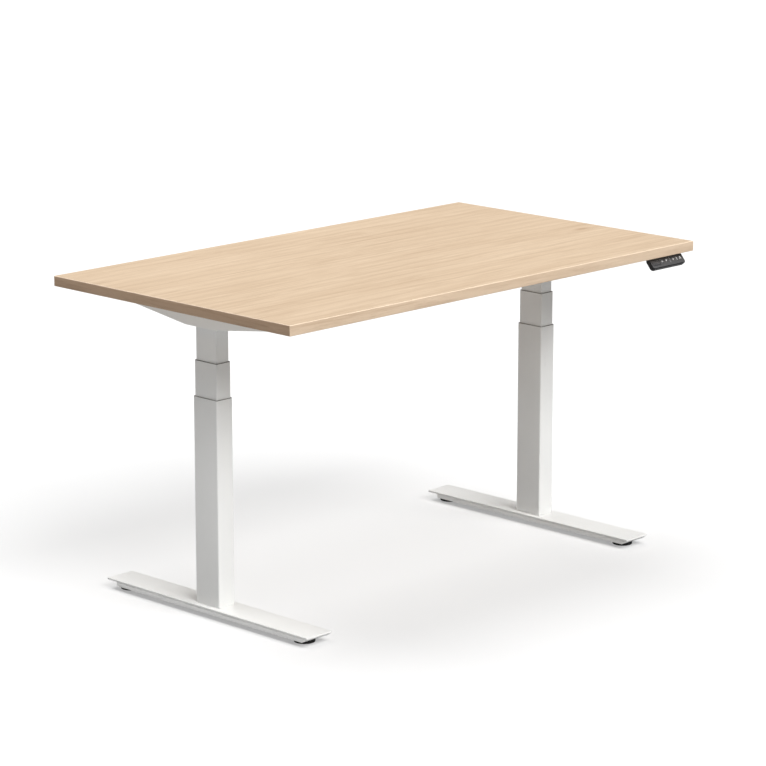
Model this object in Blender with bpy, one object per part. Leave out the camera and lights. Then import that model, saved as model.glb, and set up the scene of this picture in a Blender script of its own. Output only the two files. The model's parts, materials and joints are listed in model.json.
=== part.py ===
"""Electric height adjustable desk on two three-stage columns.

Metres, +Z up. X runs along the worktop, -Y is the side the user sits on, and the
origin is on the floor under the middle of the worktop. The desk stands at the height
where each stage of a column has come out by the same part of its stroke.
"""

import math

import bmesh
import bpy
from mathutils import Matrix, Vector

# Worktop
TOP_LENGTH = 1.400
TOP_DEPTH = 0.800
TOP_THICKNESS = 0.025
TOP_SURFACE = 0.7756
BAND_THICKNESS = 0.002

# Legs
COLUMN_X = 0.5637
WALL = 0.0015
OUTER_TUBE = (0.050, 0.080)
MIDDLE_TUBE = (0.045, 0.075)
INNER_TUBE = (0.040, 0.070)
OUTER_TOP = 0.5265
MIDDLE_TOP = 0.6124
MIDDLE_LENGTH = 0.490
INNER_LENGTH = 0.475
TUBE_RADIUS = 0.0035
GLIDE_HEIGHT = 0.045
GLIDE_THICKNESS = 0.0005
GLIDE_PLAY = 0.00025

# Feet
FOOT_WIDTH = 0.080
FOOT_FRONT = -0.348
FOOT_REAR = 0.342
FOOT_TOP = 0.026
FOOT_PLATE = 0.0045
CHANNEL_BOTTOM = 0.0117
CHANNEL_WALL = 0.0025
CHANNEL_FRONT = -0.332
CHANNEL_REAR = 0.307
PAD_Y = 0.300
PAD_RADIUS = 0.025
PAD_HEIGHT = 0.0108
STUD_RADIUS = 0.005
STUD_TOP = 0.0208
WELD_NUT_RADIUS = 0.0085

# Side brackets under the worktop
BRACKET_WIDTH = 0.076
BRACKET_HALF_LENGTH = 0.345
BRACKET_BOTTOM = 0.696
BRACKET_FLAT = 0.050
BRACKET_RISE = 0.1385
BRACKET_SHEET = 0.003
BRACKET_BEND = 0.060
SCREW_HOLES_Y = (-0.31, -0.18, 0.18, 0.31)
SCREW_HOLE_RADIUS = 0.0032

# Drive line in each column, from the fixed screw outwards
SCREW_RADIUS = 0.005
SCREW_TOP = 0.390
DRIVE_TUBE_RADIUS = 0.010
DRIVE_TUBE_BORE = 0.007
DRIVE_TUBE_LENGTH = 0.440
THREAD_LENGTH = 0.020
SHAFT_RADIUS = 0.0067
SHAFT_BORE = 0.0055
SHAFT_BOTTOM = 0.300
SHAFT_TOP = 0.7110
PLATE_HEIGHT = 0.008
NUT_HEIGHT = 0.022
GEARBOX_SIZE = (0.062, 0.076)
MOTOR_RADIUS = 0.019

# Crossbeams
BEAM_Y = 0.130
BEAM_HEIGHT = 0.038
BEAM_DEPTH = 0.022
BEAM_WALL = 0.002
BEAM_OVERLAP = 0.180
BEAM_FLANGE = (0.003, 0.044)

# Control box, between the crossbeams
BOX_LENGTH = 0.260
BOX_WIDTH = 0.110
BOX_HEIGHT = 0.036
BOX_WALL = 0.002

# Handset under the front edge, near the right corner
HANDSET_X = 0.610
HANDSET_LENGTH = 0.125
HANDSET_FACE = 0.033
HANDSET_DEPTH = 0.0127
HANDSET_LIP_Y = -0.400
HANDSET_LIP_Z = 0.7249
HANDSET_TILT = math.radians(40)
HANDSET_RADIUS = 0.008
HANDSET_WALL = 0.0022
BUTTON_SIZE = (0.0105, 0.0130)
BUTTON_X = {
    "button_up": -0.0187,
    "button_down": -0.0025,
    "button_memory_1": 0.0238,
    "button_memory_2": 0.0375,
    "button_memory_3": 0.0513,
}
DISPLAY_X = -0.0430
DISPLAY_SIZE = (0.032, 0.018)

GAP = 0.0003
ROUND = 32
UNDERSIDE = TOP_SURFACE - TOP_THICKNESS
SIDES = (("left", -1), ("right", 1))
PAD_ENDS = (("front", -PAD_Y), ("rear", PAD_Y))

COLOURS = {
    "oak_face": ((0.78, 0.60, 0.41), 0.55, 0.0),
    "oak_edge": ((0.70, 0.52, 0.35), 0.60, 0.0),
    "white_coat": ((0.86, 0.86, 0.84), 0.45, 0.0),
    "steel": ((0.55, 0.55, 0.56), 0.35, 1.0),
    "aluminium": ((0.72, 0.73, 0.74), 0.45, 1.0),
    "black_plastic": ((0.020, 0.020, 0.022), 0.50, 0.0),
    "grey_plastic": ((0.085, 0.085, 0.090), 0.40, 0.0),
    "white_plastic": ((0.80, 0.80, 0.78), 0.45, 0.0),
    "display_glass": ((0.030, 0.032, 0.035), 0.10, 0.0),
    "pad_rubber": ((0.018, 0.018, 0.018), 0.75, 0.0),
    "circuit_board": ((0.030, 0.160, 0.080), 0.50, 0.0),
}


def clear_scene():
    for existing in list(bpy.data.objects):
        bpy.data.objects.remove(existing, do_unlink=True)


def material(name, finish):
    colour, roughness, metallic = COLOURS[finish]
    made = bpy.data.materials.new(name)
    made.use_nodes = True
    shader = made.node_tree.nodes["Principled BSDF"]
    shader.inputs["Base Color"].default_value = (*colour, 1.0)
    shader.inputs["Roughness"].default_value = roughness
    shader.inputs["Metallic"].default_value = metallic
    return made


def empty(name, location=(0.0, 0.0, 0.0)):
    made = bpy.data.objects.new(name, None)
    made.location = location
    bpy.context.scene.collection.objects.link(made)
    return made


def solid(name, shape, finish, parent, location=(0.0, 0.0, 0.0), turn=None):
    """An object from a bmesh built around its own origin, placed and parented."""
    bmesh.ops.recalc_face_normals(shape, faces=shape.faces)
    mesh = bpy.data.meshes.new(name)
    shape.to_mesh(mesh)
    shape.free()
    mesh.shade_smooth()
    mesh.set_sharp_from_angle(angle=math.radians(35))
    made = bpy.data.objects.new(name, mesh)
    made.data.materials.append(material(name, finish))
    bpy.context.scene.collection.objects.link(made)
    place = Matrix.Translation(location)
    if turn is not None:
        place = place @ turn
    made.parent = parent
    made.matrix_parent_inverse = Matrix.Translation(-parent.location)
    made.matrix_basis = place
    return made


def combine(target, helpers, operation):
    for helper in helpers:
        helper.hide_render = True
        helper.display_type = "WIRE"
        step = target.modifiers.new(helper.name, "BOOLEAN")
        step.operation = operation
        step.solver = "EXACT"
        step.object = helper


def cut(target, helpers):
    """Takes the helpers' shapes out of the target."""
    combine(target, helpers, "DIFFERENCE")


def join(target, helpers):
    """Adds the helpers' shapes to the target."""
    combine(target, helpers, "UNION")


# Shapes


def rounded_rectangle(width, depth, radius, steps=3):
    """Corner points of a rectangle with round corners, counter-clockwise."""
    points = []
    for corner, (sx, sy) in enumerate(((1, 1), (-1, 1), (-1, -1), (1, -1))):
        cx = sx * (width / 2 - radius)
        cy = sy * (depth / 2 - radius)
        for step in range(steps + 1):
            angle = math.radians(90) * (corner + step / steps)
            points.append((cx + radius * math.cos(angle), cy + radius * math.sin(angle)))
    return points


def circle(radius, steps=ROUND):
    turn = 2 * math.pi / steps
    return [(radius * math.cos(turn * n), radius * math.sin(turn * n)) for n in range(steps)]


def ring_of(shape, outline, z):
    return [shape.verts.new((x, y, z)) for x, y in outline]


def wall_between(shape, first, second):
    count = len(first)
    for n in range(count):
        m = (n + 1) % count
        shape.faces.new((first[n], first[m], second[m], second[n]))


def prism(outline, low, high):
    """A closed solid with this outline, from low to high along Z."""
    shape = bmesh.new()
    bottom = ring_of(shape, outline, low)
    top = ring_of(shape, outline, high)
    wall_between(shape, bottom, top)
    shape.faces.new(bottom)
    shape.faces.new(top)
    return shape


def pipe(outer, inner, low, high):
    """A wall between two outlines of the same count, open at both ends."""
    shape = bmesh.new()
    rings = [
        ring_of(shape, outer, low),
        ring_of(shape, outer, high),
        ring_of(shape, inner, high),
        ring_of(shape, inner, low),
    ]
    for n in range(4):
        wall_between(shape, rings[n], rings[(n + 1) % 4])
    return shape


def block(low, high, radius=0.0):
    """A box from corner to corner, with its upright edges rounded."""
    width = high[0] - low[0]
    depth = high[1] - low[1]
    middle = ((low[0] + high[0]) / 2, (low[1] + high[1]) / 2)
    if radius:
        outline = rounded_rectangle(width, depth, radius)
    else:
        outline = [(width / 2, depth / 2), (-width / 2, depth / 2)]
        outline += [(-width / 2, -depth / 2), (width / 2, -depth / 2)]
    return prism([(x + middle[0], y + middle[1]) for x, y in outline], low[2], high[2])


def turned(profile, steps=ROUND):
    """A profile of (radius, height) points spun about Z; radius 0 closes an end."""
    shape = bmesh.new()
    rings = []
    for radius, height in profile:
        if radius == 0:
            rings.append([shape.verts.new((0.0, 0.0, height))])
        else:
            rings.append(ring_of(shape, circle(radius, steps), height))
    closed = profile[0][0] != 0
    pairs = list(zip(rings, rings[1:]))
    if closed:
        pairs.append((rings[-1], rings[0]))
    for first, second in pairs:
        if len(first) == 1 or len(second) == 1:
            tip = first[0] if len(first) == 1 else second[0]
            around = second if len(first) == 1 else first
            for n in range(steps):
                shape.faces.new((tip, around[n], around[(n + 1) % steps]))
        else:
            wall_between(shape, first, second)
    return shape


def fillet(corner, before, after, radius, steps=5):
    """Points of the arc that rounds the corner between two other points."""
    corner = Vector(corner)
    to_before = (Vector(before) - corner).normalized()
    to_after = (Vector(after) - corner).normalized()
    half = to_before.angle(to_after) / 2
    centre = corner + (to_before + to_after).normalized() * (radius / math.sin(half))
    reach = radius / math.tan(half)
    start = corner + to_before * reach - centre
    end = corner + to_after * reach - centre
    spokes = [start.lerp(end, n / steps).normalized() for n in range(steps + 1)]
    return [tuple(centre + spoke * radius) for spoke in spokes]


def extrude_along_x(outline, low, high):
    """A closed solid with an outline of (y, z) points, from low to high along X."""
    shape = bmesh.new()
    near = [shape.verts.new((low, y, z)) for y, z in outline]
    far = [shape.verts.new((high, y, z)) for y, z in outline]
    wall_between(shape, near, far)
    shape.faces.new(near)
    shape.faces.new(far)
    return shape


def rod(name, radius, low, high, parent, location, turn=None):
    return solid(name, prism(circle(radius, 24), low, high), "steel", parent, location, turn)


def shrunk(size, by):
    return (size[0] - 2 * by, size[1] - 2 * by)


# Parts


def worktop(parent):
    """Board with a band glued to each edge; the front and rear bands run full length."""
    half_x = TOP_LENGTH / 2
    half_y = TOP_DEPTH / 2
    inside = BAND_THICKNESS + GAP
    board = block(
        (inside - half_x, inside - half_y, UNDERSIDE),
        (half_x - inside, half_y - inside, TOP_SURFACE),
    )
    solid("worktop_board", board, "oak_face", parent)
    for name, y in (("front", -half_y), ("rear", half_y - BAND_THICKNESS)):
        band = block((-half_x, y, UNDERSIDE), (half_x, y + BAND_THICKNESS, TOP_SURFACE))
        solid(f"edge_band_{name}", band, "oak_edge", parent)
    for name, x in (("left", -half_x), ("right", half_x - BAND_THICKNESS)):
        band = block(
            (x, inside - half_y, UNDERSIDE),
            (x + BAND_THICKNESS, half_y - inside, TOP_SURFACE),
        )
        solid(f"edge_band_{name}", band, "oak_edge", parent)


def levelling_pad(name, x, y, parent):
    """Round pad with its threaded stud, fully screwed into the foot."""
    profile = [
        (0.0, 0.0),
        (PAD_RADIUS - 0.0015, 0.0),
        (PAD_RADIUS, 0.0015),
        (PAD_RADIUS, 0.0065),
        (PAD_RADIUS - 0.004, 0.0095),
        (STUD_RADIUS + 0.003, PAD_HEIGHT),
        (STUD_RADIUS, PAD_HEIGHT),
        (STUD_RADIUS, STUD_TOP - 0.0008),
        (STUD_RADIUS - 0.0008, STUD_TOP),
        (0.0, STUD_TOP),
    ]
    pivot = empty(f"{name}_screw_axis", (x, y, 0.0))
    pivot.parent = parent
    pad = solid(name, turned(profile), "pad_rubber", parent, (x, y, 0.0))
    pad.parent = pivot
    pad.matrix_parent_inverse = Matrix.Translation((-x, -y, 0.0))


def foot(side, x, parent):
    """Flat plate on a shallow upside-down channel, with a weld nut for each pad."""
    plate = block(
        (-FOOT_WIDTH / 2, FOOT_FRONT, FOOT_TOP - FOOT_PLATE),
        (FOOT_WIDTH / 2, FOOT_REAR, FOOT_TOP),
        0.0015,
    )
    solid(f"{side}_foot_plate", plate, "white_coat", parent, (x, 0.0, 0.0))
    top = FOOT_TOP - FOOT_PLATE - GAP
    outline = [
        (CHANNEL_REAR, CHANNEL_BOTTOM),
        (CHANNEL_REAR, top),
        (FOOT_FRONT + 0.001, top),
        (CHANNEL_FRONT, CHANNEL_BOTTOM),
    ]
    channel = solid(
        f"{side}_foot_channel",
        extrude_along_x(outline, -FOOT_WIDTH / 2, FOOT_WIDTH / 2),
        "white_coat",
        parent,
        (x, 0.0, 0.0),
    )
    nut_outline = circle(WELD_NUT_RADIUS, 6)
    inside_half = FOOT_WIDTH / 2 - CHANNEL_WALL
    web = top - CHANNEL_WALL
    hollow = solid(
        f"{side}_channel_hollow",
        block((-inside_half, -0.4, 0.0), (inside_half, 0.4, web)),
        "steel",
        parent,
        (x, 0.0, 0.0),
    )
    cut(channel, [hollow])
    for end, y in PAD_ENDS:
        place = (x, y, 0.0)
        nut = prism(nut_outline, CHANNEL_BOTTOM + 0.0008, top - 0.001)
        join(channel, [solid(f"{side}_{end}_weld_nut", nut, "steel", parent, place)])
        bore = STUD_RADIUS + GAP
        cut(channel, [rod(f"{side}_{end}_stud_hole", bore, 0.0, 0.03, parent, place)])


def square_tube(name, size, low, high, parent, x):
    outer = rounded_rectangle(*size, TUBE_RADIUS)
    inner = rounded_rectangle(*shrunk(size, WALL), TUBE_RADIUS - WALL)
    solid(name, pipe(outer, inner, low, high), "white_coat", parent, (x, 0.0, 0.0))


def glide(name, size, top, parent, x):
    """Plastic liner inside the mouth of a tube, which guides the next one."""
    bore = shrunk(size, WALL + GLIDE_PLAY)
    outer = rounded_rectangle(*bore, TUBE_RADIUS - WALL)
    inner = rounded_rectangle(*shrunk(bore, GLIDE_THICKNESS), TUBE_RADIUS - WALL)
    sleeve = pipe(outer, inner, top - GLIDE_HEIGHT, top)
    solid(name, sleeve, "grey_plastic", parent, (x, 0.0, 0.0))


def plate_in_tube(name, size, low, height, bore, finish, parent, x):
    """A plate that fills a tube's inside and has a round bore on the column's axis."""
    outline = rounded_rectangle(*shrunk(size, WALL + GAP), TUBE_RADIUS - WALL)
    plate = solid(name, prism(outline, low, low + height), finish, parent, (x, 0.0, 0.0))
    if bore:
        ends = (low - 0.01, low + height + 0.01)
        cut(plate, [rod(f"{name}_bore", bore, *ends, parent, (x, 0.0, 0.0))])


def lower_leg(side, x, parent):
    """Everything that stays on the floor: foot, outer tube, base plate, fixed screw."""
    foot(side, x, parent)
    floor = FOOT_TOP + GAP
    square_tube(f"{side}_outer_tube", OUTER_TUBE, floor, OUTER_TOP, parent, x)
    glide(f"{side}_outer_glide", OUTER_TUBE, OUTER_TOP - GAP, parent, x)
    plate_in_tube(f"{side}_base_plate", OUTER_TUBE, floor, PLATE_HEIGHT, 0.0, "steel", parent, x)
    foot_of_screw = floor + PLATE_HEIGHT + GAP
    profile = [
        (0.0, foot_of_screw),
        (0.012, foot_of_screw),
        (0.012, foot_of_screw + 0.004),
        (SCREW_RADIUS, foot_of_screw + 0.004),
        (SCREW_RADIUS, SCREW_TOP - 0.001),
        (SCREW_RADIUS - 0.001, SCREW_TOP),
        (0.0, SCREW_TOP),
    ]
    solid(f"{side}_lower_screw", turned(profile, 20), "steel", parent, (x, 0.0, 0.0))


def middle_stage(side, x, parent):
    low = MIDDLE_TOP - MIDDLE_LENGTH
    square_tube(f"{side}_middle_tube", MIDDLE_TUBE, low, MIDDLE_TOP, parent, x)
    glide(f"{side}_middle_glide", MIDDLE_TUBE, MIDDLE_TOP - GAP, parent, x)
    plate_in_tube(
        f"{side}_bearing_plate",
        MIDDLE_TUBE,
        low + GAP,
        PLATE_HEIGHT,
        DRIVE_TUBE_RADIUS + GAP,
        "aluminium",
        parent,
        x,
    )


def drive_tube(side, x, parent):
    """Threaded inside at its lower end and outside all along; its collar sits on the bearing."""
    low = MIDDLE_TOP - MIDDLE_LENGTH + 0.0001
    collar = low + PLATE_HEIGHT + 2 * GAP
    top = low + DRIVE_TUBE_LENGTH
    profile = [
        (SCREW_RADIUS + GAP, low),
        (DRIVE_TUBE_RADIUS, low),
        (DRIVE_TUBE_RADIUS, collar),
        (0.014, collar),
        (0.014, collar + 0.003),
        (DRIVE_TUBE_RADIUS, collar + 0.003),
        (DRIVE_TUBE_RADIUS, top),
        (DRIVE_TUBE_BORE, top),
        (DRIVE_TUBE_BORE, low + THREAD_LENGTH),
        (SCREW_RADIUS + GAP, low + THREAD_LENGTH),
    ]
    solid(f"{side}_drive_tube", turned(profile, 24), "steel", parent, (x, 0.0, 0.0))


def drive_shaft(side, x, parent):
    """Hollow keyed shaft that hangs from the gearbox and turns the drive tube."""
    profile = [
        (SHAFT_BORE, SHAFT_BOTTOM),
        (SHAFT_RADIUS, SHAFT_BOTTOM),
        (SHAFT_RADIUS, SHAFT_TOP),
        (SHAFT_BORE, SHAFT_TOP),
    ]
    solid(f"{side}_drive_shaft", turned(profile, 24), "steel", parent, (x, 0.0, 0.0))


def bracket_outline():
    """Side view of a bracket: flat in the middle, rising in a straight line to each tip."""
    top = UNDERSIDE - GAP
    tip = BRACKET_BOTTOM + BRACKET_RISE * (BRACKET_HALF_LENGTH - BRACKET_FLAT)
    rear_tip = (BRACKET_HALF_LENGTH, tip)
    rear_bend = (BRACKET_FLAT, BRACKET_BOTTOM)
    front_bend = (-BRACKET_FLAT, BRACKET_BOTTOM)
    front_tip = (-BRACKET_HALF_LENGTH, tip)
    points = [(BRACKET_HALF_LENGTH, top), rear_tip]
    points += fillet(rear_bend, rear_tip, front_bend, BRACKET_BEND)
    points += fillet(front_bend, rear_bend, front_tip, BRACKET_BEND)
    points += [front_tip, (-BRACKET_HALF_LENGTH, top)]
    return points


def side_bracket(side, x, parent):
    """Sheet steel channel, open downwards, screwed to the worktop through its web."""
    half = BRACKET_WIDTH / 2
    bracket = solid(
        f"{side}_side_bracket",
        extrude_along_x(bracket_outline(), -half, half),
        "white_coat",
        parent,
        (x, 0.0, 0.0),
    )
    inside = half - BRACKET_SHEET
    web = UNDERSIDE - GAP - BRACKET_SHEET
    hollow = solid(
        f"{side}_bracket_hollow",
        block((-inside, -0.5, 0.6), (inside, 0.5, web)),
        "steel",
        parent,
        (x, 0.0, 0.0),
    )
    cutters = [hollow]
    for number, y in enumerate(SCREW_HOLES_Y):
        name = f"{side}_screw_hole_{number}"
        cutters.append(rod(name, SCREW_HOLE_RADIUS, 0.70, 0.80, parent, (x, y, 0.0)))
    cut(bracket, cutters)


def lift_head(side, x, parent):
    """Top of a column: inner tube, its nut, the gearbox and the motor."""
    top = BRACKET_BOTTOM + 0.0025
    low = top - INNER_LENGTH
    square_tube(f"{side}_inner_tube", INNER_TUBE, low, top, parent, x)
    plate_in_tube(
        f"{side}_inner_nut",
        INNER_TUBE,
        low + GAP,
        NUT_HEIGHT,
        DRIVE_TUBE_RADIUS + GAP,
        "white_plastic",
        parent,
        x,
    )
    half_x = GEARBOX_SIZE[0] / 2
    half_y = GEARBOX_SIZE[1] / 2
    gearbox_low = top + GAP
    gearbox_high = UNDERSIDE - GAP - BRACKET_SHEET - GAP
    gearbox = solid(
        f"{side}_gearbox",
        block((-half_x, -half_y, gearbox_low), (half_x, half_y, gearbox_high), 0.006),
        "aluminium",
        parent,
        (x, 0.0, 0.0),
    )
    bore = SHAFT_RADIUS + GAP
    ends = (gearbox_low - 0.01, SHAFT_TOP + 0.001)
    cut(gearbox, [rod(f"{side}_shaft_hole", bore, *ends, parent, (x, 0.0, 0.0))])
    motor(side, x, (gearbox_low + gearbox_high) / 2 + 0.0025, parent)


def motor(side, x, height, parent):
    """Round motor flanged to the rear of the gearbox, with a stepped end cap."""
    start = GEARBOX_SIZE[1] / 2 + GAP
    profile = [
        (0.0, start),
        (MOTOR_RADIUS - 0.004, start),
        (MOTOR_RADIUS - 0.004, start + 0.004),
        (MOTOR_RADIUS, start + 0.005),
        (MOTOR_RADIUS, start + 0.070),
        (MOTOR_RADIUS - 0.0015, start + 0.0715),
        (MOTOR_RADIUS - 0.0015, start + 0.084),
        (MOTOR_RADIUS - 0.004, start + 0.086),
        (0.0, start + 0.086),
    ]
    # Spun about Z and then laid down, so that the shaft runs towards the rear.
    lay_down = Matrix.Rotation(math.radians(-90), 4, "X")
    solid(f"{side}_motor", turned(profile, 28), "steel", parent, (x, 0.0, height), lay_down)


def crossbeam(name, y, parent):
    """Two rectangular tubes, one sliding in the other, with a flange on each outer end."""
    top = UNDERSIDE - 0.0025
    low = top - BEAM_HEIGHT
    end = COLUMN_X - BRACKET_WIDTH / 2 - GAP
    middle = (top + low) / 2
    to_x = Matrix.Rotation(math.radians(90), 4, "Y")
    outer_size = (BEAM_HEIGHT, BEAM_DEPTH)
    inner_size = shrunk(outer_size, BEAM_WALL + 0.0005)
    for side, sign, size in (("left", -1, outer_size), ("right", 1, inner_size)):
        outer = rounded_rectangle(*size, 0.003)
        inner = rounded_rectangle(*shrunk(size, BEAM_WALL), 0.001)
        ends = sorted((sign * end, -sign * BEAM_OVERLAP / 2))
        tube = pipe(outer, inner, ends[0], ends[1])
        place = (0.0, y, middle)
        beam = solid(f"{name}_crossbeam_{side}", tube, "white_coat", parent, place, to_x)
        thickness, width = BEAM_FLANGE
        faces = sorted((sign * end, sign * (end - thickness)))
        plate = prism(rounded_rectangle(BEAM_HEIGHT, width, 0.003), *faces)
        join(beam, [solid(f"{name}_{side}_flange", plate, "white_coat", parent, place, to_x)])


def control_box(parent):
    """Tray screwed to the worktop, a cover below it, a circuit board and the sockets."""
    half_x = BOX_LENGTH / 2
    half_y = BOX_WIDTH / 2
    tray_low = UNDERSIDE - GAP - BOX_WALL
    tray = block((-half_x - 0.014, -half_y, tray_low), (half_x + 0.014, half_y, UNDERSIDE - GAP), 0.004)
    solid("control_box_tray", tray, "black_plastic", parent)
    cover_high = tray_low - GAP
    cover_low = cover_high - BOX_HEIGHT
    cover = solid(
        "control_box_cover",
        block((-half_x, -half_y, cover_low), (half_x, half_y, cover_high), 0.005),
        "black_plastic",
        parent,
    )
    inside = block(
        (BOX_WALL - half_x, BOX_WALL - half_y, cover_low + BOX_WALL),
        (half_x - BOX_WALL, half_y - BOX_WALL, cover_high + 0.01),
        0.003,
    )
    cutters = [solid("control_box_inside", inside, "steel", parent)]
    socket_z = cover_low + 0.018
    windows = {
        "control_box_sockets": (-0.045, 0.076, 0.016),
        "mains_inlet": (0.075, 0.030, 0.024),
    }
    for name, (x, width, height) in windows.items():
        window = block(
            (x - width / 2 - GAP, half_y - 0.010, socket_z - height / 2 - GAP),
            (x + width / 2 + GAP, half_y + 0.010, socket_z + height / 2 + GAP),
        )
        cutters.append(solid(f"{name}_window", window, "steel", parent))
    cut(cover, cutters)
    board = block((-0.110, -0.045, cover_low + 0.006), (0.110, 0.036, cover_low + 0.0076), 0.002)
    solid("control_circuit_board", board, "circuit_board", parent)
    recesses = {
        "control_box_sockets": [(-0.026, 0.016, 0.010), (0.0, 0.016, 0.010), (0.026, 0.014, 0.010)],
        "mains_inlet": [(0.0, 0.024, 0.018)],
    }
    for name, (x, width, height) in windows.items():
        body = solid(
            name,
            block(
                (x - width / 2, half_y - 0.016, socket_z - height / 2),
                (x + width / 2, half_y + 0.0015, socket_z + height / 2),
            ),
            "black_plastic",
            parent,
        )
        mouths = []
        for number, (offset, wide, tall) in enumerate(recesses[name]):
            mouth = block(
                (x + offset - wide / 2, half_y - 0.012, socket_z - tall / 2),
                (x + offset + wide / 2, half_y + 0.010, socket_z + tall / 2),
            )
            mouths.append(solid(f"{name}_mouth_{number}", mouth, "steel", parent))
        cut(body, mouths)


def handset_place():
    """Turns local X, Y, Z into along the handset, up its face, and out of its face."""
    up = Vector((0.0, math.sin(HANDSET_TILT), math.cos(HANDSET_TILT)))
    out = Vector((0.0, -math.cos(HANDSET_TILT), math.sin(HANDSET_TILT)))
    turn = Matrix(((1.0, up.x, out.x), (0.0, up.y, out.y), (0.0, up.z, out.z)))
    lip = Vector((HANDSET_X, HANDSET_LIP_Y, HANDSET_LIP_Z))
    return lip + up * HANDSET_FACE / 2, turn.to_4x4()


def handset(parent):
    """Tray, face plate, display window, circuit board, mount and five buttons."""
    centre, turn = handset_place()
    outline = rounded_rectangle(HANDSET_LENGTH, HANDSET_FACE, HANDSET_RADIUS, 5)
    housing = solid(
        "handset_housing", prism(outline, -HANDSET_DEPTH, 0.0), "black_plastic", parent, centre, turn
    )
    pocket_size = shrunk((HANDSET_LENGTH, HANDSET_FACE), HANDSET_WALL)
    pocket_radius = HANDSET_RADIUS - HANDSET_WALL
    pocket = solid(
        "handset_pocket",
        prism(rounded_rectangle(*pocket_size, pocket_radius, 5), HANDSET_WALL - HANDSET_DEPTH, 0.01),
        "steel",
        parent,
        centre,
        turn,
    )
    cut(housing, [pocket])
    face_size = shrunk(pocket_size, GAP)
    face = solid(
        "handset_face",
        prism(rounded_rectangle(*face_size, pocket_radius, 5), -0.0020, -0.0003),
        "grey_plastic",
        parent,
        centre,
        turn,
    )
    openings = [
        solid(
            "display_opening",
            block_in(DISPLAY_X, DISPLAY_SIZE, GAP, -0.01, 0.01),
            "steel",
            parent,
            centre,
            turn,
        )
    ]
    for name, x in BUTTON_X.items():
        hole = block_in(x, BUTTON_SIZE, GAP, -0.01, 0.01)
        openings.append(solid(f"{name}_opening", hole, "steel", parent, centre, turn))
    cut(face, openings)
    window = block_in(DISPLAY_X, DISPLAY_SIZE, 0.0, -0.0024, -0.0002)
    solid("handset_display", window, "display_glass", parent, centre, turn)
    board_size = shrunk(pocket_size, 0.0015)
    board = prism(rounded_rectangle(*board_size, 0.003), -0.0079, -0.0063)
    solid("handset_circuit_board", board, "circuit_board", parent, centre, turn)
    for name, x in BUTTON_X.items():
        button(name, x, parent, centre, turn)
    handset_mount(parent)


def handset_mount(parent):
    """Wedge between the underside of the worktop and the back of the housing."""
    up = (math.sin(HANDSET_TILT), math.cos(HANDSET_TILT))
    behind = HANDSET_DEPTH + 0.0004
    back_low = (HANDSET_LIP_Y + behind * up[1], HANDSET_LIP_Z - behind * up[0])
    top = UNDERSIDE - GAP
    upper = (back_low[0] + HANDSET_FACE * up[0], back_low[1] + HANDSET_FACE * up[1])
    lower = (back_low[0] + HANDSET_FACE * up[0] / 2, back_low[1] + HANDSET_FACE * up[1] / 2)
    rear = -BRACKET_HALF_LENGTH - 0.003
    outline = [upper, (upper[0], top), (rear, top), (rear, top - 0.006), lower]
    wedge = extrude_along_x(outline, -0.040, 0.040)
    solid("handset_mount", wedge, "black_plastic", parent, (HANDSET_X, 0.0, 0.0))


def block_in(x, size, margin, low, high):
    """A rectangle with small round corners, centred on the handset's face."""
    outline = rounded_rectangle(size[0] + 2 * margin, size[1] + 2 * margin, 0.0015 + margin)
    return prism([(px + x, py) for px, py in outline], low, high)


def button(name, x, parent, centre, turn):
    """Key cap with a stem that reaches the circuit board; its axis is its own Z."""
    across = turn.to_3x3() @ Vector((x, 0.0, 0.0))
    pivot = empty(f"{name}_axis", centre + across)
    pivot.parent = parent
    cap = block_in(0.0, BUTTON_SIZE, 0.0, -0.0026, 0.0)
    key = solid(name, cap, "grey_plastic", parent, centre + across, turn)
    key.parent = pivot
    key.matrix_parent_inverse = Matrix.Translation(-pivot.location)
    join(key, [rod(f"{name}_stem", 0.002, -0.0053, -0.001, parent, centre + across, turn)])


def build():
    clear_scene()
    lower_legs = empty("lower_legs")
    desk_top = empty("desk_top")
    worktop(desk_top)
    for side, sign in SIDES:
        x = sign * COLUMN_X
        lower_leg(side, x, lower_legs)
        for end, y in PAD_ENDS:
            levelling_pad(f"{side}_{end}_pad", x, y, lower_legs)
        middle_stage(side, x, empty(f"{side}_middle_stage", (x, 0.0, 0.0)))
        drive_tube(side, x, empty(f"{side}_drive_tube_axis", (x, 0.0, 0.0)))
        drive_shaft(side, x, empty(f"{side}_drive_shaft_axis", (x, 0.0, 0.0)))
        side_bracket(side, x, desk_top)
        lift_head(side, x, desk_top)
    crossbeam("front", -BEAM_Y, desk_top)
    crossbeam("rear", BEAM_Y, desk_top)
    control_box(desk_top)
    handset(desk_top)


build()
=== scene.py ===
"""Looks of the height adjustable standing desk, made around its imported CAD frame.

Metres, in the frame's own axes: X along the worktop, -Y the user's side, +Z up.
Pieces take their places from the boxes of the CAD nodes, and each rides on a CAD body.
"""
import json
import math

import bmesh
import bpy
from mathutils import Matrix, Vector


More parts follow.
